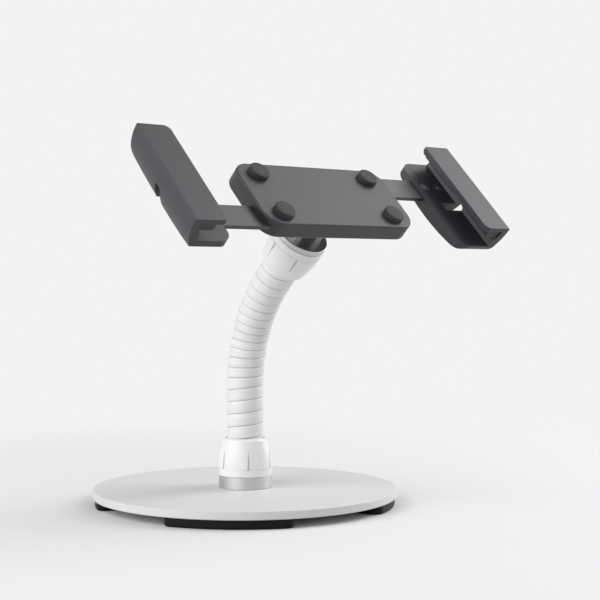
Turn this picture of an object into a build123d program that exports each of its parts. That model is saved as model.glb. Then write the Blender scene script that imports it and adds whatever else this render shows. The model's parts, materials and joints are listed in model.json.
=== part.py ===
from build123d import *
import math
import os

# Countertop tablet stand. Millimetres, +Z up.
# The origin is on the surface that the stand rests on, in the middle of the round base.
# The stand faces -Y, and the two jaws stand apart along X.

# base
FOOT_HEIGHT = 6.6
FOOT_OUTER_R = 110.4
FOOT_WIDTH = 22.0
FOOT_SPAN = 49.0
FOOT_CORNER_R = 6.0
FOOT_EDGE_R = 1.6
FOOT_TURNS = {"front_left": -135, "front_right": -45, "back_left": 135, "back_right": 45}
PLATE_R = 112.0
PLATE_THICK = 5.9
PLATE_EDGE = 0.5
RING_R = 19.6
RING_HEIGHT = 9.2
BOLT_R = 4.0
BOLT_HEAD_R = 8.0
BOLT_HEAD_HEIGHT = 4.0
BOLT_KEY_R = 2.9
BOLT_KEY_DEPTH = 2.6
BOLT_SUNK = 0.2
BOLT_HEAD_RIM = 0.3
END_CHAMFER = 0.8

# clamp of the neck: socket, split collet and nut, the same at both ends of the neck
NUT_R = 19.9
NUT_LENGTH = 27.5
NUT_BAND = 5.4
NUT_SEAM = 0.4
NUT_SHOULDER_R = 17.3
NUT_SHOULDER_AT = 24.3
NUT_MOUTH_R = 15.2
NUT_HOLE_R = 14.1
NUT_THREAD_R = 16.9
NUT_THREAD_DEPTH = 16.3
NUT_CONE_TOP = 20.4
NUT_DOME_OUT = 0.45
NUT_DOME_UP = 0.4
GROOVES = 6
GROOVE_WIDTH = 2.0
GROOVE_DEPTH = 1.9
GROOVE_TOP_DEPTH = 0.5
GROOVE_TOP_WIDTH = 0.3
GROOVE_LENGTH = 13.2
GROOVE_TURN = -31.2
SOCKET_R = 16.6
SOCKET_LENGTH = 13.8
SOCKET_CONE = 4.05
ROD_R = 9.8
ROD_BORE_R = 9.85
COLLET_BOTTOM = 10.3
COLLET_R = 16.2
COLLET_TOP = 20.0
COLLET_TOP_R = 13.8
COLLET_TAPER = 3.5
COLLET_CONE = 3.8
COLLET_SLOTS = 6
COLLET_SLOT = 1.2

# neck: straight up, then a bend towards -Y up to the holder's lean
NECK_RISE = 87.1
NECK_BEND_R = 112.0
LEAN = 45.0
RIB_PITCH = 10.0
RIB_TIGHT_PITCH = 6.6
RIB_TIGHT_AT = 128.5
RIB_TIGHT_SPREAD = 6.0
RIB_PHASE = 0.3
RIB_EDGE = 0.14
RIBS_EACH_WAY = 12
RING_GAP = 0.6
SLEEVE_BORE_R = 12.0
SLEEVE_SEAM_R = 12.75
SLEEVE_EDGE_R = 13.4
SLEEVE_CROWN_R = 13.6
SLEEVE_START = 44.2
SLEEVE_TUCK = 6.0
LINKS = 5
LINK_LENGTH = 27.9
BALL_R = 7.5
CUP_BORE_R = 7.75
CUP_R = 10.2
CUP_MOUTH = 4.2
CUP_DEPTH = 9.6
CUP_FLARE = 4.0
CUP_NECK_R = 8.2
CUP_LEAD_INNER_R = 6.0
CUP_LEAD_OUTER_R = 8.2
CUP_LEAD = 3.0
STEM_R = 4.2
FOOT_STEM_R = 6.0

# holder, measured from the face of a held tablet along the axis of the neck's upper end
GLASS_AT = 91.6
NUT_END_AT = -49.8
YOKE_DISC = 4.0
TILT_AT = -34.8
TONGUE_HALF = 6.0
WASHER = 0.7
EAR_OUTER = 12.3
EAR_R = 7.5
PIN_R = 3.0
PIN_BORE_R = 3.05
PIN_TIP = 25.0
PIN_HEAD_R = 5.0
PIN_HEAD = 4.0
PIN_KEY_R = 2.5
KNOB_START = 12.6
TILT_KNOB_R = 8.5
TILT_KNOB_LENGTH = 14.0
TILT_KNOB_FLUTES = 8
SWIVEL_DISC_R = 22.0
SWIVEL_BACK = -26.2
SWIVEL_FRONT = -23.2
SPIGOT_R = 8.0
SPIGOT_BORE_R = 8.05
SWIVEL_SCREW_R = 2.0
SWIVEL_HEAD_R = 3.8
RETAINER_R = 12.0
RETAINER_THICK = 1.6
RETAINER_PLAY = 0.1
HOLDER_BACK = -22.9
HOLDER_SPLIT = -12.4
HOLDER_FRONT = -10.0
HOLDER_HALF_X = 68.0
HOLDER_HALF_U = 30.0
HOLDER_CORNER_R = 14.0
HOLDER_WALL = 2.2
HOLDER_EDGE_R = 1.6
SCREW_AT_X = (-60.0, -27.0, 27.0, 60.0)
SCREW_R = 1.5
SCREW_HEAD_R = 2.9
SCREW_HEAD = 1.05
SCREW_BOSS_R = 3.6
SCREW_KEY_R = 1.3
PAD_AT_X = 50.0
PAD_AT_U = 19.0
PAD_R = 7.5
PAD_FRONT = -5.9

# rack and pinion that keeps the jaws centred
MODULE = 1.0
PINION_TEETH = 18
PRESSURE_ANGLE = 20.0
BACKLASH = 0.12
PINION_BACK = -18.4
PINION_FRONT = -14.8
AXLE_R = 2.95
AXLE_BORE_R = 3.0
AXLE_BACK = -18.8
AXLE_FRONT = -11.1
AXLE_BOSS_R = 5.4
ARM_BACK = -18.2
ARM_FRONT = -15.2
ARM_INNER_X = -36.0
ARM_OUTER_X = 131.5
ARM_INNER_U = 8.0
ARM_OUTER_U = 27.5
ARM_CORNER_R = 12.0
RACK_HALF = 35.0
ARM_PLAY = 0.2
RAIL_THICK = 1.4
RAIL_AT_U = (13.0, 24.5)
RAIL_FROM = -58.0
RAIL_TO = 34.0

# jaws: the outer wall bows in towards the back, one end is square and the other well rounded
JAW_LENGTH = 89.6
JAW_OUTER_X = 142.6
JAW_WALL_R = 41.8
JAW_WALL_CENTRE = 4.1
LIP_INNER_X = 117.8
LIP_FRONT = 4.8
LIP_BACK = 1.5
LIP_ROUND_R = 5.0
LIP_SQUARE_R = 2.2
JAW_BACK_MIDDLE = -23.3
JAW_BACK_ROUND = -18.5
JAW_BACK_SQUARE = -18.1
JAW_BACK_CUT = -26.0
JAW_FLOOR = -13.0
CHANNEL_FRONT_X = 137.0
CHANNEL_FLOOR_X = 132.8
JAW_INNER_X = 104.0
JAW_FRONT_EDGE_R = 0.8
LIP_EDGE_R = 0.4
JAW_ROUND_END_R = 6.5
JAW_SQUARE_END_R = 1.0
JAW_INNER_CORNER_R = 10.0
NOTCH_AT_U = -2.5
NOTCH_HALF = 4.0
NOTCH_FRONT = -10.4
NOTCH_R = 3.0
NOTCH_INNER_X = 117.0
LINER_INNER_X = 124.0
LINER_PAD_X = 118.2
LINER_BLOCK_BACK = -5.0
LINER_BLOCK_R = 2.0
LINER_HALF = 43.6
LINER_GAP_HALF = 8.0
LINER_INSET = 0.4
ARM_SCREW_X = (112.0, 125.0)
ARM_SCREW_U = 18.5
ARM_SCREW_R = 2.0
ARM_SCREW_HEAD_R = 3.8
ARM_SCREW_HEAD = 1.8
ARM_SCREW_KEY_R = 1.4

# arm lock
LOCK_X = 46.0
LOCK_U = 18.0
LOCK_KNOB_R = 11.0
LOCK_KNOB_BACK = -37.0
LOCK_KNOB_FRONT = -25.0
LOCK_KNOB_FLUTES = 9
LOCK_STUD_R = 3.0
LOCK_INSERT_R = 5.0
LOCK_FLANGE_R = 6.2
LOCK_BOSS_R = 6.8
LOCK_BOSS = 0.6
LOCK_SHOE_R = 5.5
LOCK_SHOE = 1.5

PLATE_BOTTOM = FOOT_HEIGHT
PLATE_TOP = FOOT_HEIGHT + PLATE_THICK
NUT_AT = PLATE_TOP + RING_HEIGHT
ARC_LENGTH = math.radians(LEAN) * NECK_BEND_R
BEND_END = NECK_RISE + ARC_LENGTH
JOINT_AT = [BEND_END - LINK_LENGTH * (LINKS - 1 - i) for i in range(LINKS)]
UPPER_NUT_AT = BEND_END + GLASS_AT + NUT_END_AT
HOLDER_FLOOR = HOLDER_BACK + HOLDER_WALL
RETAINER_BACK = HOLDER_FLOOR + RETAINER_PLAY
SLEEVE_STOP = UPPER_NUT_AT - NUT_LENGTH + SLEEVE_TUCK

nodes = {}


def neck_plane(s):
    """The plane across the neck, s millimetres along its axis from the resting surface."""
    turn = min(max(s - NECK_RISE, 0) / NECK_BEND_R, math.radians(LEAN))
    past = max(s - BEND_END, 0)
    y = -NECK_BEND_R * (1 - math.cos(turn)) - past * math.sin(turn)
    z = min(s, NECK_RISE) + NECK_BEND_R * math.sin(turn) + past * math.cos(turn)
    return Plane(origin=(0, y, z), x_dir=(1, 0, 0), z_dir=(0, -math.sin(turn), math.cos(turn)))


HEAD = neck_plane(BEND_END + GLASS_AT)
LOWER_CLAMP = Plane(origin=(0, 0, NUT_AT), x_dir=(1, 0, 0), z_dir=(0, 0, 1))
UPPER_CLAMP = Plane(
    origin=HEAD.from_local_coords((0, 0, NUT_END_AT)),
    x_dir=(1, 0, 0),
    z_dir=-HEAD.z_dir,
)


def turned(points):
    """A solid of revolution about Z from its half outline, as (radius, height) points."""
    return revolve(Plane.XZ * make_face(Polyline(*points, close=True)), Axis.Z)


def disc(radius, low, high, x=0.0, y=0.0):
    return Pos(x, y, low) * extrude(Circle(radius), high - low)


def slab(x0, x1, y0, y1, z0, z1):
    return Pos((x0 + x1) / 2, (y0 + y1) / 2, (z0 + z1) / 2) * Box(x1 - x0, y1 - y0, z1 - z0)


# base plate, feet, ring and bolt
def base_plate():
    plate = disc(PLATE_R, PLATE_BOTTOM, PLATE_TOP)
    plate = chamfer(plate.edges(), PLATE_EDGE)
    plate -= disc(BOLT_R + 0.3, PLATE_BOTTOM, PLATE_TOP)
    head = Cone(BOLT_HEAD_R + 0.3, BOLT_R + 0.3, BOLT_HEAD_HEIGHT)
    return plate - Pos(0, 0, PLATE_BOTTOM + BOLT_HEAD_HEIGHT / 2) * head


def foot_pad(turn):
    inner = FOOT_OUTER_R - FOOT_WIDTH
    half = math.radians(FOOT_SPAN / 2)

    def at(radius, angle):
        return (radius * math.cos(angle), radius * math.sin(angle))

    outline = [
        ThreePointArc(at(FOOT_OUTER_R, -half), at(FOOT_OUTER_R, 0), at(FOOT_OUTER_R, half)),
        Line(at(FOOT_OUTER_R, half), at(inner, half)),
        ThreePointArc(at(inner, half), at(inner, 0), at(inner, -half)),
        Line(at(inner, -half), at(FOOT_OUTER_R, -half)),
    ]
    pad = extrude(make_face(outline), FOOT_HEIGHT)
    pad = fillet(pad.edges().filter_by(Axis.Z), FOOT_CORNER_R)
    pad = fillet(pad.edges().group_by(Axis.Z)[0], FOOT_EDGE_R)
    return Rot(0, 0, turn) * pad


def base_ring():
    ring = disc(RING_R, PLATE_TOP, NUT_AT) - disc(SOCKET_R + 0.05, PLATE_TOP, NUT_AT)
    return chamfer(ring.edges().filter_by(GeomType.CIRCLE), 0.3)


def base_bolt():
    low = PLATE_BOTTOM + BOLT_SUNK
    top = NUT_AT - 0.6
    head_r = BOLT_HEAD_R - 0.5
    bolt = turned([
        (0, low), (head_r, low), (head_r, low + BOLT_HEAD_RIM),
        (BOLT_R, PLATE_BOTTOM + BOLT_HEAD_HEIGHT), (BOLT_R, top - END_CHAMFER),
        (BOLT_R - END_CHAMFER, top), (0, top),
    ])
    return bolt - Pos(0, 0, low) * extrude(RegularPolygon(BOLT_KEY_R, 6), BOLT_KEY_DEPTH)


# the clamp's pieces, in their own frame: the nut's wide end at 0, its mouth towards +Z
def clamp_socket(below):
    """A threaded boss whose bore takes the end of the neck, with a cone for the collet."""
    cone = SOCKET_LENGTH - SOCKET_CONE
    return turned([
        (0, -below), (SOCKET_R, -below), (SOCKET_R, SOCKET_LENGTH - END_CHAMFER),
        (SOCKET_R - END_CHAMFER, SOCKET_LENGTH), (ROD_BORE_R + SOCKET_CONE, SOCKET_LENGTH),
        (ROD_BORE_R, cone), (ROD_BORE_R, 0), (0, 0),
    ])


def clamp_collet():
    flat = COLLET_BOTTOM + COLLET_CONE
    collet = turned([
        (ROD_BORE_R, COLLET_BOTTOM), (ROD_BORE_R + COLLET_CONE, flat), (COLLET_R, flat),
        (COLLET_R, COLLET_TOP - COLLET_TAPER), (COLLET_TOP_R, COLLET_TOP), (ROD_BORE_R, COLLET_TOP),
    ])
    half = COLLET_SLOT / 2
    slot = slab(ROD_R - 1, COLLET_R + 1, -half, half, flat - 1.0, COLLET_TOP + 1)
    for i in range(COLLET_SLOTS):
        collet -= Rot(0, 0, 360 * i / COLLET_SLOTS) * slot
    return collet


def clamp_nut():
    """The white ogive nut: a plain band, tapering finger grooves and a domed shoulder."""
    middle = NUT_LENGTH / 2
    along = (middle - NUT_BAND) / (NUT_SHOULDER_AT - NUT_BAND)
    swell_r = NUT_R - (NUT_R - NUT_SHOULDER_R) * along ** 2
    dome_r = (NUT_SHOULDER_R + NUT_MOUTH_R) / 2 + NUT_DOME_OUT
    dome_at = (NUT_SHOULDER_AT + NUT_LENGTH) / 2 + NUT_DOME_UP
    outline = [
        Line((NUT_THREAD_R, 0), (NUT_R - 0.3, 0)),
        Line((NUT_R - 0.3, 0), (NUT_R, 0.3)),
        Line((NUT_R, 0.3), (NUT_R, NUT_BAND)),
        ThreePointArc((NUT_R, NUT_BAND), (swell_r, middle), (NUT_SHOULDER_R, NUT_SHOULDER_AT)),
        ThreePointArc(
            (NUT_SHOULDER_R, NUT_SHOULDER_AT), (dome_r, dome_at), (NUT_MOUTH_R, NUT_LENGTH)),
        Line((NUT_MOUTH_R, NUT_LENGTH), (NUT_HOLE_R, NUT_LENGTH)),
        Line((NUT_HOLE_R, NUT_LENGTH), (NUT_HOLE_R, NUT_CONE_TOP)),
        Line((NUT_HOLE_R, NUT_CONE_TOP), (NUT_THREAD_R, NUT_THREAD_DEPTH)),
        Line((NUT_THREAD_R, NUT_THREAD_DEPTH), (NUT_THREAD_R, 0)),
    ]
    nut = revolve(Plane.XZ * make_face(outline), Axis.Z)
    half = NUT_SEAM / 2
    seam = disc(NUT_R + 1, NUT_BAND - half, NUT_BAND + half)
    nut -= seam - disc(NUT_R - NUT_SEAM, NUT_BAND - 1, NUT_BAND + 1)
    for i in range(GROOVES):
        nut -= Rot(0, 0, GROOVE_TURN - 90 + 360 * i / GROOVES) * finger_groove()
    return nut


def finger_groove():
    """A slot at +X in the nut's side: widest and deepest at the band, narrowing to a point."""
    top_at = NUT_BAND + GROOVE_LENGTH
    along = GROOVE_LENGTH / (NUT_SHOULDER_AT - NUT_BAND)
    top_r = NUT_R - (NUT_R - NUT_SHOULDER_R) * along ** 2
    low = Pos(NUT_R, 0, NUT_BAND) * Rectangle(2 * GROOVE_DEPTH, GROOVE_WIDTH)
    high = Pos(top_r, 0, top_at) * Rectangle(2 * GROOVE_TOP_DEPTH, GROOVE_TOP_WIDTH)
    return loft([low, high], ruled=True)


# neck: ball-and-socket links in a ribbed sleeve
def cup_outline(length, stem_r):
    """Outline points of a cup on a stem, with its socket centred at the given height."""
    root = length - CUP_DEPTH
    mouth = length + CUP_MOUTH
    return [
        (stem_r, root - CUP_FLARE + 1.5), (CUP_NECK_R, root + 1.0), (CUP_R, root + CUP_FLARE),
        (CUP_R, mouth - END_CHAMFER), (CUP_R - END_CHAMFER, mouth), (0, mouth),
    ]


def link_frame(i):
    """The frame of link i: its ball at the origin and +Z towards the next joint."""
    here = neck_plane(JOINT_AT[i]).origin
    if i == LINKS - 1:
        return Plane(origin=here, x_dir=(1, 0, 0), z_dir=HEAD.z_dir)
    there = neck_plane(JOINT_AT[i + 1]).origin
    return Plane(origin=here, x_dir=(1, 0, 0), z_dir=there - here)


def cup_cut(length):
    """The ball's seat, with a cone at its mouth that lets the next stem lean."""
    lead_in = Pos(0, 0, length + CUP_MOUTH - 1.2) * Cone(CUP_LEAD_INNER_R, CUP_LEAD_OUTER_R, CUP_LEAD)
    return Pos(0, 0, length) * Sphere(CUP_BORE_R) + lead_in


def neck_link(i):
    ball = Sphere(BALL_R)
    if i < LINKS - 1:
        length = (neck_plane(JOINT_AT[i + 1]).origin - neck_plane(JOINT_AT[i]).origin).length
        body = turned([(0, 0), (STEM_R, 0)] + cup_outline(length, STEM_R))
        return link_frame(i) * (ball + body - cup_cut(length))
    rod_end = UPPER_NUT_AT - BEND_END - 0.3
    rod_start = rod_end - COLLET_TOP - 1.2
    rod = turned([
        (0, 0), (STEM_R, 0), (STEM_R, rod_start - 4), (ROD_R, rod_start),
        (ROD_R, rod_end - END_CHAMFER), (ROD_R - END_CHAMFER, rod_end), (0, rod_end),
    ])
    return link_frame(i) * (ball + rod)


def neck_foot():
    joint = JOINT_AT[0]
    rod_top = NUT_AT + COLLET_TOP + 1.0
    low = NUT_AT + 0.3
    body = turned([
        (0, low), (ROD_R - END_CHAMFER, low), (ROD_R, low + END_CHAMFER), (ROD_R, rod_top),
        (FOOT_STEM_R, rod_top + 3.0),
    ] + cup_outline(joint, FOOT_STEM_R))
    return body - cup_cut(joint)


def rib_place(ribs):
    """How far along the neck a number of ribs past the tightest one comes."""
    squeeze = (RIB_PITCH - RIB_TIGHT_PITCH) * RIB_TIGHT_SPREAD * math.sqrt(math.pi) / 2
    return RIB_TIGHT_AT + RIB_PITCH * ribs - squeeze * math.erf(ribs / RIB_TIGHT_SPREAD)


def rib_stations(start, stop):
    """Rings of the ribbed sleeve between start and stop, four to a rib, as (place, radius)."""
    rib = [
        (0, SLEEVE_SEAM_R), (RIB_EDGE, SLEEVE_EDGE_R), (0.5, SLEEVE_CROWN_R),
        (1 - RIB_EDGE, SLEEVE_EDGE_R),
    ]
    count = range(-RIBS_EACH_WAY, RIBS_EACH_WAY)
    rings = [(rib_place(k + RIB_PHASE + share), r) for k in count for share, r in rib]
    inside = [(s, r) for s, r in rings if start + RING_GAP < s < stop - RING_GAP]
    return [(start, SLEEVE_SEAM_R)] + inside + [(stop, SLEEVE_SEAM_R)]


def sleeve(start, stop):
    """A length of ribbed sleeve; each rib is ruled through four rings."""
    stations = rib_stations(start, stop)
    skin = loft([neck_plane(s) * Circle(r) for s, r in stations], ruled=True)
    bore = loft([neck_plane(s) * Circle(SLEEVE_BORE_R) for s, r in stations], ruled=True)
    return skin - bore


# tilt yoke, knuckle and swivel, in the holder's frame: x, up the tablet, and out of its face
def cross_rod(radius, start, stop):
    """A round bar along x through the tilt axis."""
    return Pos(start, 0, TILT_AT) * Rot(0, 90, 0) * extrude(Circle(radius), stop - start)


def tilt_yoke():
    socket = Pos(0, 0, NUT_END_AT) * Rot(180, 0, 0) * clamp_socket(YOKE_DISC)
    disc_top = NUT_END_AT + YOKE_DISC
    plate = chamfer(disc(RING_R, NUT_END_AT, disc_top).edges(), 0.4)
    ear = slab(-EAR_OUTER, EAR_OUTER, -EAR_R, EAR_R, disc_top - 0.5, TILT_AT)
    ear += cross_rod(EAR_R, -EAR_OUTER, EAR_OUTER)
    inner = TONGUE_HALF + WASHER + 0.05
    ear -= slab(-inner, inner, -20, 20, disc_top, TILT_AT + 20)
    return socket + plate + ear - cross_rod(PIN_BORE_R, -EAR_OUTER - 1, EAR_OUTER + 1)


def tilt_knuckle():
    tongue = cross_rod(EAR_R, -TONGUE_HALF, TONGUE_HALF)
    tongue += slab(-TONGUE_HALF, TONGUE_HALF, -EAR_R, EAR_R, TILT_AT, SWIVEL_BACK + 0.5)
    tongue -= cross_rod(PIN_BORE_R, -TONGUE_HALF - 1, TONGUE_HALF + 1)
    plate = chamfer(disc(SWIVEL_DISC_R, SWIVEL_BACK, SWIVEL_FRONT).edges(), 0.5)
    spigot = disc(SPIGOT_R, SWIVEL_FRONT - 0.5, RETAINER_BACK)
    bore = disc(SWIVEL_SCREW_R + 0.05, SWIVEL_BACK - 4, RETAINER_BACK + 1)
    return tongue + plate + spigot - bore


def swivel_retainer():
    plate = disc(RETAINER_R, RETAINER_BACK, RETAINER_BACK + RETAINER_THICK)
    sink = Cone(SWIVEL_SCREW_R + 0.4, SWIVEL_HEAD_R + 0.2, RETAINER_THICK)
    return plate - Pos(0, 0, RETAINER_BACK + RETAINER_THICK / 2) * sink


def swivel_screw():
    tip = SWIVEL_BACK - 3
    top = RETAINER_BACK + RETAINER_THICK - 0.1
    screw = turned([
        (0, tip), (SWIVEL_SCREW_R, tip), (SWIVEL_SCREW_R, RETAINER_BACK), (SWIVEL_HEAD_R, top),
        (0, top),
    ])
    return screw - Pos(0, 0, top - 1.0) * extrude(RegularPolygon(ARM_SCREW_KEY_R, 6), 2)


def tilt_washers():
    ring = Cylinder(EAR_R - 0.5, WASHER) - Cylinder(PIN_BORE_R + 0.1, WASHER)
    at = TONGUE_HALF + 0.02 + WASHER / 2
    return Compound([Pos(side * at, 0, TILT_AT) * Rot(0, 90, 0) * ring for side in (-1, 1)])


def tilt_pin():
    end = -EAR_OUTER - PIN_HEAD
    shank = cross_rod(PIN_R, -EAR_OUTER, PIN_TIP)
    head = fillet(cross_rod(PIN_HEAD_R, end, -EAR_OUTER).edges().group_by(Axis.X)[0], 0.8)
    key = Pos(end, 0, TILT_AT) * Rot(0, 90, 0) * extrude(RegularPolygon(PIN_KEY_R, 6), 2.2)
    return shank + head - key


def fluted_knob(radius, length, flutes):
    """A round grip with scalloped sides and a softened outer end."""
    grip = extrude(Circle(radius), length)
    flute_r = radius * math.pi / flutes * 0.62
    flute = Pos(radius + flute_r * 0.45, 0, 0) * extrude(Circle(flute_r), length)
    for i in range(flutes):
        grip -= Rot(0, 0, 360 * i / flutes) * flute
    return chamfer(grip.edges().group_by(Axis.Z)[-1], 0.7)


def tilt_knob():
    knob = fluted_knob(TILT_KNOB_R, TILT_KNOB_LENGTH, TILT_KNOB_FLUTES)
    knob = Pos(KNOB_START, 0, TILT_AT) * Rot(0, 90, 0) * knob
    return knob - cross_rod(PIN_BORE_R, KNOB_START - 1, PIN_TIP + 0.3)


# holder housing
def housing_outline(inset):
    return RectangleRounded(
        2 * (HOLDER_HALF_X - inset), 2 * (HOLDER_HALF_U - inset), HOLDER_CORNER_R - inset)


def arm_slots():
    """The openings in the two end walls, one for each arm."""
    inside = HOLDER_HALF_X - HOLDER_CORNER_R
    low, high = ARM_INNER_U - ARM_PLAY, ARM_OUTER_U + ARM_PLAY
    back, front = ARM_BACK - ARM_PLAY, ARM_FRONT + ARM_PLAY
    right = slab(inside, HOLDER_HALF_X + 1, low, high, back, front)
    return right + Rot(0, 0, 180) * right


def rails(low, high):
    """Two runners for each arm, along x."""
    both = Part()
    half = RAIL_THICK / 2
    for u in RAIL_AT_U:
        rail = slab(RAIL_FROM, RAIL_TO, u - half, u + half, low, high)
        both += rail
        both += Rot(0, 0, 180) * rail
    return both


def holder_back():
    shell = Pos(0, 0, HOLDER_BACK) * extrude(housing_outline(0), HOLDER_SPLIT - HOLDER_BACK)
    shell = fillet(shell.edges().group_by(Axis.Z)[0], HOLDER_EDGE_R)
    shell -= Pos(0, 0, HOLDER_FLOOR) * extrude(housing_outline(HOLDER_WALL), 20)
    for x in SCREW_AT_X:
        shell += disc(SCREW_BOSS_R, HOLDER_FLOOR - 0.5, HOLDER_SPLIT, x)
        shell -= disc(SCREW_R + 0.1, HOLDER_BACK - 1, HOLDER_SPLIT + 1, x)
        shell -= disc(SCREW_HEAD_R + 0.1, HOLDER_BACK - 1, HOLDER_BACK + SCREW_HEAD + 0.15, x)
    shell += rails(HOLDER_FLOOR - 0.5, ARM_BACK - ARM_PLAY)
    shell -= arm_slots()
    shell -= disc(SPIGOT_BORE_R, HOLDER_BACK - 1, HOLDER_FLOOR + 1)
    shell += disc(LOCK_BOSS_R, HOLDER_BACK, HOLDER_FLOOR + LOCK_BOSS, LOCK_X, LOCK_U)
    return shell - disc(LOCK_INSERT_R, HOLDER_BACK - 1, HOLDER_FLOOR + 3, LOCK_X, LOCK_U)


def holder_front():
    cover = Pos(0, 0, HOLDER_SPLIT) * extrude(housing_outline(0), HOLDER_FRONT - HOLDER_SPLIT)
    cover = fillet(cover.edges().group_by(Axis.Z)[-1], HOLDER_EDGE_R)
    cover += rails(ARM_FRONT + ARM_PLAY, HOLDER_SPLIT + 0.5)
    cover += disc(AXLE_BOSS_R, PINION_FRONT + 0.3, HOLDER_SPLIT + 0.5)
    cover -= disc(AXLE_R + 0.02, PINION_FRONT - 1, AXLE_FRONT + 0.1)
    for x in SCREW_AT_X:
        cover -= disc(SCREW_R + 0.1, HOLDER_SPLIT - 1, HOLDER_FRONT - 0.8, x)
    return cover


def holder_screws():
    """Four pan screws that go in from the back."""
    low, tip = HOLDER_BACK + 0.1, HOLDER_FRONT - 1.2
    neck = low + SCREW_HEAD
    screw = turned([
        (0, low), (SCREW_HEAD_R, low), (SCREW_HEAD_R, neck), (SCREW_R, neck), (SCREW_R, tip), (0, tip),
    ])
    screw -= Pos(0, 0, HOLDER_BACK) * extrude(RegularPolygon(SCREW_KEY_R, 6), SCREW_HEAD - 0.15)
    return Compound([Pos(x, 0, 0) * screw for x in SCREW_AT_X])


def rest_pads():
    pad = fillet(disc(PAD_R, HOLDER_FRONT, PAD_FRONT).edges().group_by(Axis.Z)[-1], 1.2)
    places = [(x, u) for x in (-PAD_AT_X, PAD_AT_X) for u in (-PAD_AT_U, PAD_AT_U)]
    return Compound([Pos(x, u, 0) * pad for x, u in places])


# rack and pinion
def involute_tooth():
    """One pinion tooth about the +X axis, with involute flanks above the base circle."""
    pitch_r = MODULE * PINION_TEETH / 2
    base_r = pitch_r * math.cos(math.radians(PRESSURE_ANGLE))
    tip_r = pitch_r + MODULE * 0.95
    root_r = pitch_r - MODULE * 1.25
    inv_pitch = math.tan(math.radians(PRESSURE_ANGLE)) - math.radians(PRESSURE_ANGLE)
    half = (math.pi * MODULE / 2 - BACKLASH) / 2 / pitch_r + inv_pitch

    def flank(radius):
        roll = math.acos(min(base_r / radius, 1.0))
        return half - (math.tan(roll) - roll)

    radii = [base_r + (tip_r - base_r) * k / 4 for k in range(5)]
    left = [(r * math.cos(flank(r)), r * math.sin(flank(r))) for r in radii]
    root = ((root_r - 0.5) * math.cos(half), (root_r - 0.5) * math.sin(half))
    side = [root] + left
    return make_face(Polyline(*side, *[(x, -y) for x, y in reversed(side)], close=True))


def drive_pinion():
    root_r = MODULE * (PINION_TEETH / 2 - 1.25)
    gear = Sketch() + Circle(root_r)
    for i in range(PINION_TEETH):
        gear += Rot(0, 0, 360 * i / PINION_TEETH) * involute_tooth()
    gear -= Circle(AXLE_BORE_R)
    return Pos(0, 0, PINION_BACK) * extrude(gear, PINION_FRONT - PINION_BACK)


def pinion_axle():
    return chamfer(disc(AXLE_R, AXLE_BACK, AXLE_FRONT).edges(), 0.3)


def rack_arm():
    """The right arm: a flat bar above the pinion, with its teeth along the lower edge."""
    pitch_line = MODULE * PINION_TEETH / 2
    tip = pitch_line - MODULE
    root = pitch_line + 1.25 * MODULE
    slope = math.tan(math.radians(PRESSURE_ANGLE))
    bar = slab(ARM_INNER_X, ARM_OUTER_X, root, ARM_OUTER_U, ARM_BACK, ARM_FRONT)
    bar += slab(RACK_HALF + 1.0, ARM_OUTER_X, tip, root + 1, ARM_BACK, ARM_FRONT)
    half = (math.pi * MODULE / 2 - BACKLASH) / 2
    pitch = math.pi * MODULE
    count = int(RACK_HALF / pitch)
    low, high = half - MODULE * slope, half + (root + 0.3 - pitch_line) * slope
    tooth = make_face(Polyline(
        (-low, tip), (low, tip), (high, root + 0.3), (-high, root + 0.3), close=True))
    tooth = Pos(0, 0, ARM_BACK) * extrude(tooth, ARM_FRONT - ARM_BACK)
    teeth = [Pos(k * pitch, 0, 0) * tooth for k in range(-count, count + 1)]
    bar = bar + teeth
    corner = bar.edges().filter_by(Axis.Z).group_by(Axis.X)[0]
    bar = fillet(corner.sort_by(Axis.Y)[-1:], ARM_CORNER_R)
    for x in ARM_SCREW_X:
        bar -= disc(ARM_SCREW_R + 0.05, ARM_BACK - 1, ARM_FRONT + 1, x, ARM_SCREW_U)
    return bar


# jaws
def outer_wall_x(d):
    """Where the bowed outer face of the right jaw stands at depth d."""
    rise = d - JAW_WALL_CENTRE
    return JAW_OUTER_X - JAW_WALL_R + math.sqrt(JAW_WALL_R ** 2 - rise ** 2)


def jaw_section():
    """The channel across the right jaw, in x and depth, before its back is shaped."""
    front = (outer_wall_x(LIP_FRONT), LIP_FRONT)
    halfway = (LIP_FRONT + JAW_BACK_CUT) / 2
    middle = (outer_wall_x(halfway), halfway)
    deep = (outer_wall_x(JAW_BACK_CUT), JAW_BACK_CUT)
    inside = [
        front, (LIP_INNER_X, LIP_FRONT), (LIP_INNER_X, LIP_BACK), (CHANNEL_FRONT_X, LIP_BACK),
        (CHANNEL_FLOOR_X, JAW_FLOOR), (JAW_INNER_X, JAW_FLOOR), (JAW_INNER_X, JAW_BACK_CUT), deep,
    ]
    return make_face([Polyline(*inside), ThreePointArc(deep, middle, front)])


def jaw_profile():
    """The side of the right jaw: a bowed back, a well rounded low end and a square high end."""
    half = JAW_LENGTH / 2
    over = LIP_FRONT + 1
    block = make_face([
        Line((-half, over), (-half, JAW_BACK_ROUND)),
        ThreePointArc((-half, JAW_BACK_ROUND), (0, JAW_BACK_MIDDLE), (half, JAW_BACK_SQUARE)),
        Line((half, JAW_BACK_SQUARE), (half, over)),
        Line((half, over), (-half, over)),
    ])
    block = Plane.YZ.offset(JAW_INNER_X - 1) * extrude(block, JAW_OUTER_X - JAW_INNER_X + 2)
    for end, radius in ((0, JAW_ROUND_END_R), (-1, JAW_SQUARE_END_R)):
        back = block.edges().filter_by(Axis.X).filter_by(lambda e: e.center().Z < 0)
        block = fillet([back.sort_by(Axis.Y)[end]], radius)
    return block


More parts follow.
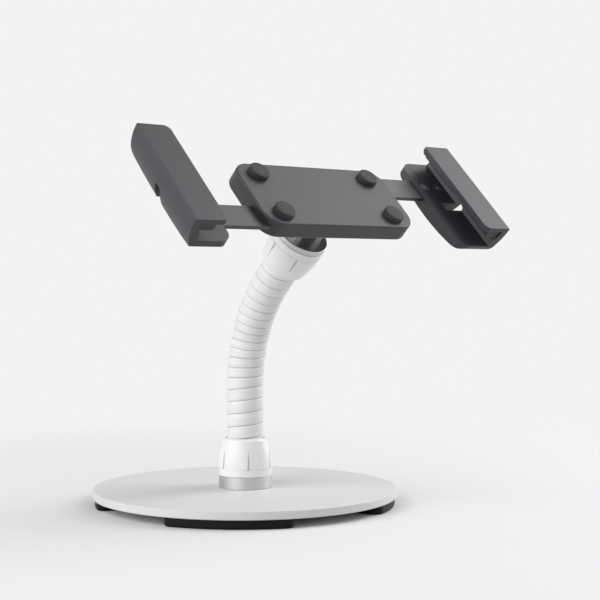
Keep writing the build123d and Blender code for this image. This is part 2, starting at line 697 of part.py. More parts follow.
def lip_corners(piece, x, low_r, high_r):
    """Rounds the two upright corners at the free edge of a lip that ends at x."""
    for end, radius in ((0, low_r), (-1, high_r)):
        upright = piece.edges().filter_by(Axis.Z).filter_by(lambda e: abs(e.center().X - x) < 0.1)
        piece = fillet([upright.sort_by(Axis.Y)[end]], radius)
    return piece


def jaw_shell():
    """The right jaw. The left one is the same moulding turned half round."""
    half = JAW_LENGTH / 2
    shell = Plane.XZ.offset(-half) * extrude(jaw_section(), 2 * half)
    edge = shell.edges().filter_by(Axis.Y).filter_by(lambda e: abs(e.center().Z - LIP_FRONT) < 0.01)
    shell = fillet([edge.sort_by(Axis.X)[-1]], JAW_FRONT_EDGE_R)
    shell = shell & jaw_profile()
    shell = lip_corners(shell, LIP_INNER_X, LIP_ROUND_R, LIP_SQUARE_R)
    rim = shell.edges().filter_by(lambda e: abs(e.center().Z - LIP_FRONT) < 0.01)
    shell = fillet(rim.filter_by(lambda e: e.center().X < JAW_OUTER_X - 2), LIP_EDGE_R)
    plan = slab(JAW_INNER_X, JAW_OUTER_X + 1, -half, half, JAW_BACK_CUT, LIP_FRONT + 1)
    plan = fillet(plan.edges().filter_by(Axis.Z).group_by(Axis.X)[0], JAW_INNER_CORNER_R)
    shell = shell & plan
    low, high = NOTCH_AT_U - NOTCH_HALF, NOTCH_AT_U + NOTCH_HALF
    notch = slab(NOTCH_INNER_X, JAW_OUTER_X + 1, low, high, JAW_BACK_CUT, NOTCH_FRONT)
    shell -= fillet(notch.edges().filter_by(Axis.X).group_by(Axis.Z)[-1], NOTCH_R)
    shell -= slab(JAW_INNER_X - 1, ARM_OUTER_X, ARM_INNER_U, ARM_OUTER_U, ARM_BACK, ARM_FRONT)
    sink = Cone(ARM_SCREW_R, ARM_SCREW_HEAD_R + 0.1, ARM_SCREW_HEAD)
    for x in ARM_SCREW_X:
        shell -= disc(ARM_SCREW_R + 0.05, ARM_FRONT - 1, JAW_FLOOR + 1, x, ARM_SCREW_U)
        shell -= Pos(x, ARM_SCREW_U, JAW_FLOOR - ARM_SCREW_HEAD / 2) * sink
    return shell


def jaw_liner():
    """Rubber under the lip, and a block beside the tablet's edge with a gap for a plug."""
    slope = (CHANNEL_FRONT_X - CHANNEL_FLOOR_X) / (LIP_BACK - JAW_FLOOR)
    block_x = CHANNEL_FRONT_X - slope * (LIP_BACK - LINER_BLOCK_BACK)
    section = make_face(Polyline(
        (LINER_PAD_X, 0), (LINER_PAD_X, LIP_BACK), (CHANNEL_FRONT_X, LIP_BACK),
        (block_x, LINER_BLOCK_BACK), (LINER_INNER_X, LINER_BLOCK_BACK), (LINER_INNER_X, 0),
        close=True))
    liner = Plane.XZ.offset(-LINER_HALF) * extrude(section, 2 * LINER_HALF)
    back = liner.edges().filter_by(Axis.Y).group_by(Axis.Z)[0]
    liner = fillet([back.sort_by(Axis.X)[0]], LINER_BLOCK_R)
    low, high = NOTCH_AT_U - LINER_GAP_HALF, NOTCH_AT_U + LINER_GAP_HALF
    liner -= slab(LINER_PAD_X, JAW_OUTER_X, low, high, JAW_FLOOR, 0)
    return lip_corners(liner, LINER_PAD_X, LIP_ROUND_R - LINER_INSET, LIP_SQUARE_R - LINER_INSET)


def arm_screws():
    """Two countersunk screws that go through the right jaw's back wall into its arm."""
    low, top = ARM_BACK + 0.1, JAW_FLOOR - 0.05
    screw = turned([
        (0, low), (ARM_SCREW_R, low), (ARM_SCREW_R, JAW_FLOOR - ARM_SCREW_HEAD + 0.05),
        (ARM_SCREW_HEAD_R, top), (0, top),
    ])
    screw -= Pos(0, 0, top - 1.1) * extrude(RegularPolygon(ARM_SCREW_KEY_R, 6), 2)
    return Compound([Pos(x, ARM_SCREW_U, 0) * screw for x in ARM_SCREW_X])


# arm lock
def lock_insert():
    """A threaded bush in the back shell, with a flange outside."""
    low, high = HOLDER_BACK - 0.8, HOLDER_FLOOR + LOCK_BOSS
    bush = disc(LOCK_INSERT_R, HOLDER_BACK, high, LOCK_X, LOCK_U)
    bush += disc(LOCK_FLANGE_R, low, HOLDER_BACK, LOCK_X, LOCK_U)
    return bush - disc(LOCK_STUD_R + 0.05, low - 1, high + 1, LOCK_X, LOCK_U)


def lock_knob():
    grip = fluted_knob(LOCK_KNOB_R, LOCK_KNOB_FRONT - LOCK_KNOB_BACK, LOCK_KNOB_FLUTES)
    grip = Pos(LOCK_X, LOCK_U, LOCK_KNOB_FRONT) * mirror(grip, Plane.XY)
    stud_top = ARM_BACK - LOCK_SHOE - 0.1
    return grip + disc(LOCK_STUD_R, LOCK_KNOB_FRONT - 1, stud_top, LOCK_X, LOCK_U)


def lock_shoe():
    return disc(LOCK_SHOE_R, ARM_BACK - LOCK_SHOE, ARM_BACK - 0.05, LOCK_X, LOCK_U)


def build():
    nodes["base_plate"] = base_plate()
    for name, turn in FOOT_TURNS.items():
        nodes["foot_" + name] = foot_pad(turn)
    nodes["base_ring"] = base_ring()
    nodes["neck_socket"] = LOWER_CLAMP * clamp_socket(RING_HEIGHT) - disc(BOLT_R + 0.05, 0, NUT_AT + 1)
    nodes["base_bolt"] = base_bolt()
    nodes["lower_collet"] = LOWER_CLAMP * clamp_collet()
    nodes["lower_nut"] = LOWER_CLAMP * clamp_nut()
    nodes["neck_foot"] = neck_foot()
    for i in range(LINKS):
        nodes[f"neck_link_{i + 1}"] = neck_link(i)
    for i in range(LINKS):
        start = JOINT_AT[i] - LINK_LENGTH / 2 if i > 0 else SLEEVE_START
        stop = JOINT_AT[i] + LINK_LENGTH / 2 if i < LINKS - 1 else SLEEVE_STOP
        nodes[f"sleeve_{i + 1}"] = sleeve(start, stop)
    nodes["upper_collet"] = UPPER_CLAMP * clamp_collet()
    nodes["upper_nut"] = UPPER_CLAMP * clamp_nut()
    right_jaw = {
        "jaw": jaw_shell(),
        "jaw_liner": jaw_liner(),
        "arm": rack_arm(),
        "arm_screws": arm_screws(),
    }
    holder = {
        "tilt_yoke": tilt_yoke(),
        "tilt_knuckle": tilt_knuckle(),
        "tilt_washers": tilt_washers(),
        "tilt_pin": tilt_pin(),
        "tilt_knob": tilt_knob(),
        "swivel_retainer": swivel_retainer(),
        "swivel_screw": swivel_screw(),
        "holder_back": holder_back(),
        "holder_front": holder_front(),
        "holder_screws": holder_screws(),
        "rest_pads": rest_pads(),
        "drive_pinion": drive_pinion(),
        "pinion_axle": pinion_axle(),
        "lock_insert": lock_insert(),
        "lock_knob": lock_knob(),
        "lock_shoe": lock_shoe(),
    }
    for name, piece in right_jaw.items():
        holder[name + "_right"] = piece
        holder[name + "_left"] = Rot(0, 0, 180) * piece
    for name, piece in holder.items():
        nodes[name] = HEAD.location * piece


build()
os.makedirs("parts", exist_ok=True)
for name, piece in nodes.items():
    export_step(piece, f"parts/{name}.step")
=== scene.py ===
import json
import math

import bmesh
import bpy
from bpy.props import FloatProperty, FloatVectorProperty, IntProperty, PointerProperty
from bpy.types import Operator, Panel, PropertyGroup
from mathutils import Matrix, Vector


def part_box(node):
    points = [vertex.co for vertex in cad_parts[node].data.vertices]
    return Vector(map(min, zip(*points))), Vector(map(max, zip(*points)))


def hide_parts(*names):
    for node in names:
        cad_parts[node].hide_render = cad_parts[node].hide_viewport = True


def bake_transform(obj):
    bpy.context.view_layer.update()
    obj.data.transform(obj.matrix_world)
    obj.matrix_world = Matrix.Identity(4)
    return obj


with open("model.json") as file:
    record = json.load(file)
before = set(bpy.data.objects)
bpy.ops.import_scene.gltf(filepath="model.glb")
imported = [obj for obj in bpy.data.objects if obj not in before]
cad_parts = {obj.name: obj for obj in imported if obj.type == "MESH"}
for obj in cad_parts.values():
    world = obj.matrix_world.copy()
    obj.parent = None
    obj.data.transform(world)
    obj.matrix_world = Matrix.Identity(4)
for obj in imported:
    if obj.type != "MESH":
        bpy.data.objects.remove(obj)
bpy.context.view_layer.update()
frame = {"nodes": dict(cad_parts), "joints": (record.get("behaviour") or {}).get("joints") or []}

bl_info = {
    "name": "Countertop tablet stand",
    "version": (1, 0, 0),
    "blender": (4, 5, 0),
    "location": "3D View > Sidebar > Tablet Stand",
    "description": "Finishes, the wound neck sleeve and a small studio for a countertop tablet stand",
    "category": "Object",
}

# joints of the neck from the lowest up, with one length of sleeve over each
FLEX_JOINTS = (
    "neck_bend_lower", "neck_sway_lower", "neck_bend_middle", "neck_sway_upper", "neck_bend_upper")

# map of the sleeve's surface: share of the way round, and turns
SLEEVE_UV = "wrap"

# how finely the sleeve's mesh follows a rib
EDGE_STEPS = (0.0, 0.3, 0.65, 1.0)  # rows over a rounded edge, as shares of its width
CROWN_STEPS = (0.25, 0.5, 0.75)  # rows over the rest, as shares of the rib's width
BORE_ROWS = 4  # rows inside the sleeve for each rib
POINT_GRID = 1e7  # steps in a metre, where points that fall on the same step are one

# the widest range of turns that any sleeve could have, and the halvings that find one in it
TURN_RANGE = (-10.0, 60.0)
TURN_HALVINGS = 50

# width and height of each lamp and where it hangs, and the point that all of them face
LAMPS = {
    "key": ((1.0, 1.0), (0.9, -0.46, 0.98)),
    "side": ((1.9, 1.5), (-1.35, 0.0, 0.8)),
    "edge": ((0.9, 0.8), (1.3, -0.3, 0.42)),
}
LAMP_AIM = (0.0, -0.02, 0.14)

# the round floor, and the distances from its middle over which it takes on the backdrop's colour
FLOOR_RADIUS = 6.0
FLOOR_SIDES = 128
GLOW_NEAR = (0.1, 0.25)
GLOW_FAR = (0.15, 0.65)


def size_value(name, text, default):
    return FloatProperty(name=name, description=text, default=default, unit="LENGTH", precision=5)


def colour_value(name, text, default):
    return FloatVectorProperty(
        name=name, description=text, default=default, subtype="COLOR", size=3, min=0.0, max=1.0)


def angle_value(name, text, degrees):
    return FloatProperty(name=name, description=text, default=math.radians(degrees), subtype="ANGLE")


def power_value(name, text, default):
    return FloatProperty(name=name, description=text, default=default, unit="POWER")


def grey(level):
    return (level, level, level)


# sizes and colours that a user may change
class SleeveSizes(PropertyGroup):
    rise: size_value("Rise", "Height at which the neck starts to bend", 0.0871)
    bend_radius: size_value("Bend radius", "Radius of the neck's bend, at its axis", 0.112)
    lean: angle_value("Lean", "Angle that the neck's upper end leans forward by", 45)
    start: size_value("Start", "Where the sleeve starts, inside the lower nut", 0.0442)
    tuck: size_value("Tuck", "How far the sleeve's end goes into the upper nut", 0.006)
    pitch: size_value("Rib pitch", "Distance between seams where the strip lies loosest", 0.010)
    tight_pitch: size_value("Tight pitch", "Distance between seams where the neck bends most", 0.0066)
    tight_place: size_value("Tight place", "How far along the neck the strip lies tightest", 0.1286)
    tight_turn: FloatProperty(
        name="Tight turn", description="Number of the turn that lies there", default=9.1)
    tight_turns: FloatProperty(
        name="Tight turns", description="Turns over which the strip eases again", default=6.0)
    bore_radius: size_value("Bore radius", "Inner radius of the sleeve", 0.012)
    seam_radius: size_value("Seam radius", "Radius at the bottom of a seam", 0.01272)
    edge_radius: size_value("Edge radius", "Radius where a rib rounds over into its seam", 0.01345)
    crown_radius: size_value("Crown radius", "Radius at the middle of a rib", 0.01362)
    edge_share: FloatProperty(
        name="Edge share", description="Share of a rib that each rounded edge takes", default=0.1, max=0.3)
    flex_reach: size_value("Flex reach", "How far each side of a joint the sleeve bends", 0.012)
    columns: IntProperty(name="Columns", description="Points round the sleeve", default=96, min=24)


class StandColours(PropertyGroup):
    plate_paint: colour_value("Plate paint", "Powder paint of the base plate", grey(0.75))
    foot_rubber: colour_value("Foot rubber", "Feet under the plate", grey(0.003))
    ring_metal: colour_value("Ring metal", "Collar on the base plate and the tilt yoke", grey(0.53))
    aluminium: colour_value("Aluminium", "Sockets and the core of the neck", (0.66, 0.66, 0.67))
    zinc: colour_value("Zinc", "Screws, bolt and pin", (0.46, 0.46, 0.47))
    nut_white: colour_value("Nut white", "Clamp nuts", grey(0.90))
    sleeve_white: colour_value("Sleeve white", "Wound neck sleeve", grey(0.89))
    nylon: colour_value("Nylon", "Collets", (0.75, 0.75, 0.73))
    acetal: colour_value("Acetal", "Pinion and washers", (0.80, 0.80, 0.76))
    jaw_plastic: colour_value("Jaw plastic", "Anthracite of the jaws", (0.028, 0.029, 0.035))
    holder_plastic: colour_value("Holder plastic", "Anthracite of the holder", (0.028, 0.029, 0.034))
    liner_rubber: colour_value("Liner rubber", "Liners, rest pads and lock shoe", (0.022, 0.023, 0.025))
    knob_black: colour_value("Knob black", "Tilt knob and lock knob", (0.022, 0.022, 0.024))
    arm_steel: colour_value("Arm steel", "Coated steel arms", (0.04, 0.04, 0.043))
    brass: colour_value("Brass", "Threaded insert", (0.75, 0.58, 0.28))


class StudioSettings(PropertyGroup):
    camera_x: size_value("Camera X", "Camera's place across the stand", -0.6522)
    camera_y: size_value("Camera Y", "Camera's place in front of the stand", -0.8229)
    camera_z: size_value("Camera Z", "Camera's height above the floor", 0.17035)
    heading: angle_value("Heading", "Direction that the camera looks in, from +Y towards +X", 40.61)
    dip: angle_value("Dip", "Angle that the camera looks down by", 1.075)
    lens: FloatProperty(name="Lens", description="Focal length in millimetres", default=85.2)
    backdrop: colour_value("Backdrop", "What the camera sees behind the stand", grey(0.895))
    floor_white: colour_value("Floor", "Colour of the floor as it is seen", grey(0.92))
    floor_bounce: colour_value("Floor bounce", "Colour of the light that the floor sends up", grey(0.66))
    fill: FloatProperty(name="Fill", description="Level of the even light from all round", default=0.14)
    key_power: power_value("Key", "Power of the lamp high on the right", 10.5)
    side_power: power_value("Side", "Power of the large lamp on the left", 24.0)
    edge_power: power_value("Edge", "Power of the low lamp on the right", 6.2)
    floor_glow: FloatProperty(
        name="Floor glow", description="Share of the backdrop's colour in the floor near the stand",
        default=0.3, min=0.0, max=1.0)


# materials
class Signal:
    """A value on its way through a tree of nodes. A sum on signals adds its Math nodes."""

    def __init__(self, tree, socket):
        self.tree = tree
        self.socket = socket

    def output(self, name):
        """Another output of the same node."""
        return Signal(self.tree, self.socket.node.outputs[name])

    def maths(self, operation, *others):
        """The result of a Math node on this value and any others."""
        return self.tree.maths(operation, self, *others)

    def __add__(self, other):
        return self.maths("ADD", other)

    __radd__ = __add__

    def __sub__(self, other):
        return self.maths("SUBTRACT", other)

    def __rsub__(self, other):
        return self.tree.maths("SUBTRACT", other, self)

    def __mul__(self, other):
        return self.maths("MULTIPLY", other)

    __rmul__ = __mul__


class Tree:
    """The nodes of a material or of the world, from empty."""

    def __init__(self, node_tree):
        self.nodes = node_tree.nodes
        self.links = node_tree.links
        self.nodes.clear()

    def add(self, kind, settings=None, inputs=None, output=0):
        """Adds a node of a kind, makes its settings, then fills or links its sockets."""
        node = self.nodes.new(kind)
        for key, value in (settings or {}).items():
            setattr(node, key, value)
        for key, value in (inputs or {}).items():
            self.fill(node.inputs[key], value)
        return Signal(self, node.outputs[output]) if node.outputs else node

    def fill(self, socket, value):
        """Links a signal to a socket, or sets the socket to a number or colour."""
        if isinstance(value, Signal):
            self.links.new(value.socket, socket)
        elif socket.type == "RGBA":
            socket.default_value = (*value, 1.0)
        else:
            socket.default_value = value

    def maths(self, operation, *values):
        return self.add("ShaderNodeMath", {"operation": operation}, dict(enumerate(values)))

    def vector(self, operation, first, second=(0.0, 0.0, 0.0), output=0):
        return self.add("ShaderNodeVectorMath", {"operation": operation}, {0: first, 1: second}, output)

    def blend(self, share, first, second):
        """A colour between two, second where share is 1."""
        return self.add("ShaderNodeMix", {"data_type": "RGBA"}, {0: share, 6: first, 7: second}, output=2)

    def seen(self):
        """1 on rays that the camera, gloss or glass sends, and 0 on the rest."""
        camera = self.add("ShaderNodeLightPath", output="Is Camera Ray")
        rays = camera + camera.output("Is Glossy Ray") + camera.output("Is Transmission Ray")
        return rays.maths("MINIMUM", 1.0)


class Finish(Tree):
    """One material, made of nodes round a single Principled shader."""

    def __init__(self, name, colour, roughness, metallic=0.0):
        self.material = bpy.data.materials.new(name)
        self.material.use_nodes = True
        super().__init__(self.material.node_tree)
        self.shader = self.add("ShaderNodeBsdfPrincipled", {}, {
            "Base Color": colour, "Roughness": roughness, "Metallic": metallic})
        self.end = self.add("ShaderNodeOutputMaterial", {}, {"Surface": self.shader})

    def set(self, **values):
        """Fills or links sockets of the shader, with _ for each space in a socket's name."""
        for key, value in values.items():
            self.fill(self.shader.socket.node.inputs[key.replace("_", " ")], value)

    def place(self):
        return self.add("ShaderNodeTexCoord", output="Object")

    def noise(self, size, detail=2.0, at=None):
        """Smooth noise from 0 to 1 whose lumps are about the given size."""
        return self.add("ShaderNodeTexNoise", {}, {
            "Vector": at or self.place(), "Scale": 1.0 / size, "Detail": detail})

    def steps(self, value, low, high):
        """0 below low, 1 above high, and a smooth rise between them."""
        return self.add("ShaderNodeMapRange", {"interpolation_type": "SMOOTHSTEP"}, {
            "Value": value, "From Min": low, "From Max": high})

    def about(self, joint):
        """Distance along a joint's axis and distance from it, both in metres."""
        centre, axis = joint_line(joint)
        offset = self.vector("SUBTRACT", self.place(), centre)
        along = self.vector("DOT_PRODUCT", offset, axis, output="Value")
        lift = self.add("ShaderNodeCombineXYZ", {}, {
            letter: along * part for letter, part in zip("XYZ", axis)})
        return along, self.vector("LENGTH", self.vector("SUBTRACT", offset, lift), output="Value")

    def bump(self, height, depth):
        """Raises the surface by height, which runs from 0 to 1, times a depth in metres."""
        self.set(Normal=self.add("ShaderNodeBump", {}, {"Height": height, "Distance": depth}))


def shade(colour, factor):
    return tuple(part * factor for part in colour)


def joint_row(name):
    return next(joint for joint in frame["joints"] if joint["name"] == name)


def joint_line(name):
    """A point on a joint's axis at rest, and the axis's direction."""
    joint = joint_row(name)
    return Vector(joint["pos_m"]), Vector(joint["axis"]).normalized()


def powder_paint(name, colour):
    """Fine matt powder paint, a little uneven in tone and in gloss."""
    paint = Finish(name, colour, roughness=0.5)
    cloud = paint.noise(size=0.045)
    fleck = paint.noise(size=0.0007, detail=3.0)
    peel = paint.noise(size=0.0012)
    tone = paint.blend(cloud * 0.6 + fleck * 0.4, shade(colour, 0.965), shade(colour, 1.02))
    paint.set(Base_Color=tone, Roughness=0.44 + cloud * 0.1 + fleck * 0.06)
    paint.bump(peel * 0.7 + fleck * 0.3, depth=0.00004)
    return paint.material


def moulded_plastic(name, colour, roughness):
    """Plastic from an etched mould: an even fine grain, with slight drift in its sheen."""
    plastic = Finish(name, colour, roughness)
    drift = plastic.noise(size=0.03)
    pits = plastic.noise(size=0.0006, detail=3.0)
    tone = plastic.blend(drift * 0.5 + pits * 0.5, shade(colour, 0.93), shade(colour, 1.07))
    plastic.set(Base_Color=tone, Roughness=roughness - 0.04 + drift * 0.05 + pits * 0.04)
    plastic.bump(pits, depth=0.00002)
    return plastic.material


def gloss_plastic(name, colour):
    """Polished white plastic whose faces are very slightly wavy."""
    plastic = Finish(name, colour, roughness=0.24)
    drift = plastic.noise(size=0.02)
    wave = plastic.noise(size=0.009, detail=0.0)
    plastic.set(
        Base_Color=plastic.blend(drift, shade(colour, 0.985), colour), Roughness=0.2 + drift * 0.08)
    plastic.bump(wave, depth=0.00003)
    return plastic.material


def rubber(name, colour, roughness=0.72, shine=0.5):
    """Dull rubber with a little dust in its grain."""
    gum = Finish(name, colour, roughness)
    gum.set(Specular_IOR_Level=shine)
    grain = gum.noise(size=0.0009, detail=4.0)
    dust = gum.noise(size=0.016)
    tone = gum.blend(dust * 0.6 + grain * 0.4, colour, shade(colour, 1.45))
    gum.set(Base_Color=tone, Roughness=roughness - 0.06 + grain * 0.12)
    gum.bump(grain, depth=0.00005)
    return gum.material


def turned_metal(name, colour, roughness, joint):
    """Metal with fine tool lines round the axis of a joint."""
    metal = Finish(name, colour, roughness, metallic=1.0)
    along, away = metal.about(joint)
    lines_at = metal.add("ShaderNodeCombineXYZ", {}, {"X": along, "Y": away})
    lines = metal.noise(size=0.00022, at=lines_at)
    broad = metal.noise(size=0.0016, detail=1.0, at=lines_at)
    metal.set(
        Base_Color=metal.blend(lines * 0.5 + broad * 0.5, shade(colour, 0.92), shade(colour, 1.06)),
        Roughness=roughness - 0.06 + lines * 0.12)
    metal.bump(lines, depth=0.000012)
    return metal.material


def plated_steel(name, colour):
    """Zinc plating: softly mottled and a little blue."""
    steel = Finish(name, colour, roughness=0.34, metallic=1.0)
    mottle = steel.noise(size=0.0022, detail=4.0)
    cool = (colour[0] * 0.94, colour[1] * 0.99, colour[2] * 1.05)
    steel.set(Base_Color=steel.blend(mottle, cool, shade(colour, 1.08)), Roughness=0.28 + mottle * 0.14)
    steel.bump(mottle, depth=0.00001)
    return steel.material


def coated_steel(name, colour):
    """Black coated sheet steel, lightly streaked along its length."""
    steel = Finish(name, colour, roughness=0.42)
    stretched = steel.vector("MULTIPLY", steel.place(), (0.12, 1.0, 1.0))
    streaks = steel.noise(size=0.0007, detail=3.0, at=stretched)
    steel.set(
        Base_Color=steel.blend(streaks, shade(colour, 0.85), shade(colour, 1.2)),
        Roughness=0.36 + streaks * 0.12)
    steel.bump(streaks, depth=0.00001)
    return steel.material


def sleeve_vinyl(name, colour):
    """Satin white strip, wound with faint draw lines, and with painted shade in the seam between turns."""
    vinyl = Finish(name, colour, roughness=0.46)
    around = vinyl.add("ShaderNodeSeparateXYZ", {}, {
        "Vector": vinyl.add("ShaderNodeUVMap", {"uv_map": SLEEVE_UV})})
    turns = around.output("Y")
    across = turns.maths("FRACT")
    # painted shade: a thin band at the bottom of each seam between turns, standing in for the groove's
    # shadow
    seam = vinyl.steps((across - 0.5).maths("ABSOLUTE"), low=0.45, high=0.492)
    lines_at = vinyl.add("ShaderNodeCombineXYZ", {}, {"X": across, "Y": (around + turns) * 0.12})
    draw = vinyl.steps(vinyl.noise(size=0.075, detail=1.0, at=lines_at), low=0.36, high=0.64)
    drift = vinyl.noise(size=0.012)
    grain = vinyl.noise(size=0.0006, detail=3.0)
    even = vinyl.blend(drift * 0.2 + draw * 0.8, shade(colour, 0.9), colour)
    vinyl.set(
        # the seam band takes painted shade: the white darkens up to about 0.6 of its level there
        Base_Color=vinyl.blend(seam * 0.55, even, shade(colour, 0.3)),
        Roughness=0.42 + drift * 0.06 + grain * 0.06)
    vinyl.bump(draw * 0.8 + grain * 0.2, depth=0.0001)
    return vinyl.material


def dress(material, *nodes):
    """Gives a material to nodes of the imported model."""
    for name in nodes:
        mesh = frame["nodes"][name].data
        mesh.materials.clear()
        mesh.materials.append(material)


# neck sleeve
class NeckLine:
    """The axis of the neck: straight up, round its bend, and straight on."""

    def __init__(self, sizes):
        self.rise = sizes.rise
        self.radius = sizes.bend_radius
        self.lean = sizes.lean
        self.bend_end = self.rise + self.lean * self.radius

    def at(self, s):
        """The point s along the neck from the floor, and the direction of the neck there."""
        turn = min(max(s - self.rise, 0.0) / self.radius, self.lean)
        past = max(s - self.bend_end, 0.0)
        direction = Vector((0.0, -math.sin(turn), math.cos(turn)))
        bend = Vector((0.0, math.cos(turn) - 1.0, math.sin(turn))) * self.radius
        return Vector((0.0, 0.0, min(s, self.rise))) + bend + direction * past, direction

    def place_of(self, point):
        """How far along the neck a point on its axis is."""
        if point.z <= self.rise:
            return point.z
        turn = math.atan2(point.z - self.rise, self.radius + point.y)
        if turn <= self.lean:
            return self.rise + turn * self.radius
        end, direction = self.at(self.bend_end)
        return self.bend_end + (point - end).dot(direction)


class Winding:
    """The strip wound round the neck: loose near its ends and tight where the neck bends."""

    def __init__(self, sizes):
        self.sizes = sizes

    def place(self, turns):
        """How far along the neck the strip's edge has come after that many turns."""
        sizes = self.sizes
        past = turns - sizes.tight_turn
        squeeze = (sizes.pitch - sizes.tight_pitch) * sizes.tight_turns * math.sqrt(math.pi) / 2
        return sizes.tight_place + sizes.pitch * past - squeeze * math.erf(past / sizes.tight_turns)

    def turns(self, s):
        """The turns that it takes to come that far: place the other way round."""
        low, high = TURN_RANGE
        for _ in range(TURN_HALVINGS):
            middle = (low + high) / 2
            if self.place(middle) < s:
                low = middle
            else:
                high = middle
        return (low + high) / 2

    def radius(self, turns):
        """Outer radius of the sleeve at a whole or part turn: least in the seam between two."""
        sizes = self.sizes
        gap = abs(turns - round(turns))
        if gap < sizes.edge_share:
            rise = math.sin(math.pi / 2 * gap / sizes.edge_share)
            return sizes.seam_radius + (sizes.edge_radius - sizes.seam_radius) * rise
        rise = math.sin(math.pi / 2 * (gap - sizes.edge_share) / (0.5 - sizes.edge_share))
        return sizes.edge_radius + (sizes.crown_radius - sizes.edge_radius) * rise


class SleeveLength:
    """A closed length of sleeve with square ends: ribs that climb as they go round, over a plain bore."""

    def __init__(self, sizes, line, start, stop):
        self.sizes = sizes
        self.line = line
        self.ends = (start, stop)
        self.winding = Winding(sizes)
        self.limits = (self.winding.turns(start), self.winding.turns(stop))
        self.mesh = bmesh.new()
        self.map = self.mesh.loops.layers.uv.new(SLEEVE_UV)
        self.points = {}

    def build(self):
        self.add_ribs()
        self.add_bore_and_ends()
        self.sharpen_rims()
        return self.mesh

    def ring_point(self, s, column, radius):
        """A point of a ring round the neck, counted from the back, made once and shared by its faces."""
        columns = self.sizes.columns
        key = (round(s * POINT_GRID), column % columns, round(radius * POINT_GRID))
        if key not in self.points:
            centre, direction = self.line.at(s)
            angle = math.tau * column / columns + math.pi / 2
            side = Vector((1.0, 0.0, 0.0)).cross(direction)
            out = Vector((math.cos(angle), 0.0, 0.0)) - side * math.sin(angle)
            self.points[key] = self.mesh.verts.new(centre + out * radius)
        return self.points[key]

    def rib_point(self, row, column):
        """The point of a row at a column, held between the two ends, with its map place."""
        share = column / self.sizes.columns
        wound = min(max(row + share, self.limits[0]), self.limits[1])
        turns = wound - share
        point = self.ring_point(self.winding.place(wound), column, self.winding.radius(turns))
        return point, (share, turns)

    def add_face(self, corners, smooth=True):
        """A face from (vertex, map place) corners, or none where it has shrunk to a line."""
        kept = []
        for vertex, spot in corners:
            if vertex not in [v for v, _ in kept]:
                kept.append((vertex, spot))
        if len(kept) < 3:
            return
        face = self.mesh.faces.new([vertex for vertex, _ in kept])
        face.smooth = smooth
        for loop, (_, spot) in zip(face.loops, kept):
            loop[self.map].uv = spot

    def add_ribs(self):
        edge = self.sizes.edge_share
        rising = [edge * step for step in EDGE_STEPS]
        falling = [1 - edge * step for step in reversed(EDGE_STEPS[1:])]
        parts = (*rising, *CROWN_STEPS, *falling)
        first = math.floor(self.limits[0]) - 1
        last = math.ceil(self.limits[1]) + 1
        rows = [turn + part for turn in range(first, last) for part in parts]
        for column in range(self.sizes.columns):
            for below, above in zip(rows, rows[1:]):
                self.add_face([
                    self.rib_point(below, column), self.rib_point(below, column + 1),
                    self.rib_point(above, column + 1), self.rib_point(above, column)])

    def add_bore_and_ends(self):
        start, stop = self.ends
        count = max(2, math.ceil((stop - start) / self.sizes.pitch * BORE_ROWS))
        stations = [start + (stop - start) * k / count for k in range(count + 1)]
        for column in range(self.sizes.columns):
            share = (column / self.sizes.columns, (column + 1) / self.sizes.columns)

            def bore(s, side):
                return self.ring_point(s, column + side, self.sizes.bore_radius), (share[side], 0.5)

            def rim(end, side):
                radius = self.winding.radius(self.limits[end] - share[side])
                return self.ring_point(self.ends[end], column + side, radius), (share[side], 0.5)

            for below, above in zip(stations, stations[1:]):
                self.add_face([bore(below, 0), bore(above, 0), bore(above, 1), bore(below, 1)])
            self.add_face([rim(0, 0), bore(start, 0), bore(start, 1), rim(0, 1)], smooth=False)
            self.add_face([rim(1, 0), rim(1, 1), bore(stop, 1), bore(stop, 0)], smooth=False)

    def sharpen_rims(self):
        """Keeps the shading apart where a flat end meets the ribs or the bore."""
        for edge in self.mesh.edges:
            edge.smooth = len({face.smooth for face in edge.link_faces}) == 1


def section_ends(sizes, line):
    """Where each length of sleeve starts and stops, halfway between joints, and the joints' places."""
    joints = [line.place_of(joint_line(name)[0]) for name in FLEX_JOINTS]
    nut_low, nut_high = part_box("lower_nut")
    mouth = line.place_of(joint_line("upper_nut_turn")[0]) - (nut_high.z - nut_low.z)
    cuts = [(a + b) / 2 for a, b in zip(joints, joints[1:])]
    edges = [sizes.start] + cuts + [mouth + sizes.tuck]
    return list(zip(edges, edges[1:])), joints


# operators, one for each group of pieces
class STAND_OT_finish_base(Operator):
    """Paints the plate and finishes the ring, socket and bolt on it"""
    bl_idname = "stand.finish_base"
    bl_label = "Base"

    def execute(self, context):
        colours = context.scene.stand_colours
        dress(powder_paint("plate_powder_paint", colours.plate_paint), "base_plate")
        ring = turned_metal("ring_satin_metal", colours.ring_metal, roughness=0.42, joint="neck_turn")
        dress(ring, "base_ring")
        socket = turned_metal("socket_turned", colours.aluminium, roughness=0.32, joint="neck_turn")
        dress(socket, "neck_socket")
        dress(plated_steel("bolt_zinc", colours.zinc), "base_bolt")
        return {"FINISHED"}


class STAND_OT_finish_feet(Operator):
    """Gives the four feet their black rubber"""
    bl_idname = "stand.finish_feet"
    bl_label = "Feet"

    def execute(self, context):
        feet = [name for name in frame["nodes"] if name.startswith("foot_")]
        black = context.scene.stand_colours.foot_rubber
        dress(rubber("foot_rubber", black, roughness=0.5, shine=0.16), *feet)
        return {"FINISHED"}


class STAND_OT_finish_clamps(Operator):
    """Finishes the two clamp nuts and the collets inside them"""
    bl_idname = "stand.finish_clamps"
    bl_label = "Clamp nuts"

    def execute(self, context):
        colours = context.scene.stand_colours
        dress(gloss_plastic("nut_gloss_white", colours.nut_white), "lower_nut", "upper_nut")
        nylon = moulded_plastic("collet_nylon", colours.nylon, roughness=0.5)
        dress(nylon, "lower_collet", "upper_collet")
        return {"FINISHED"}


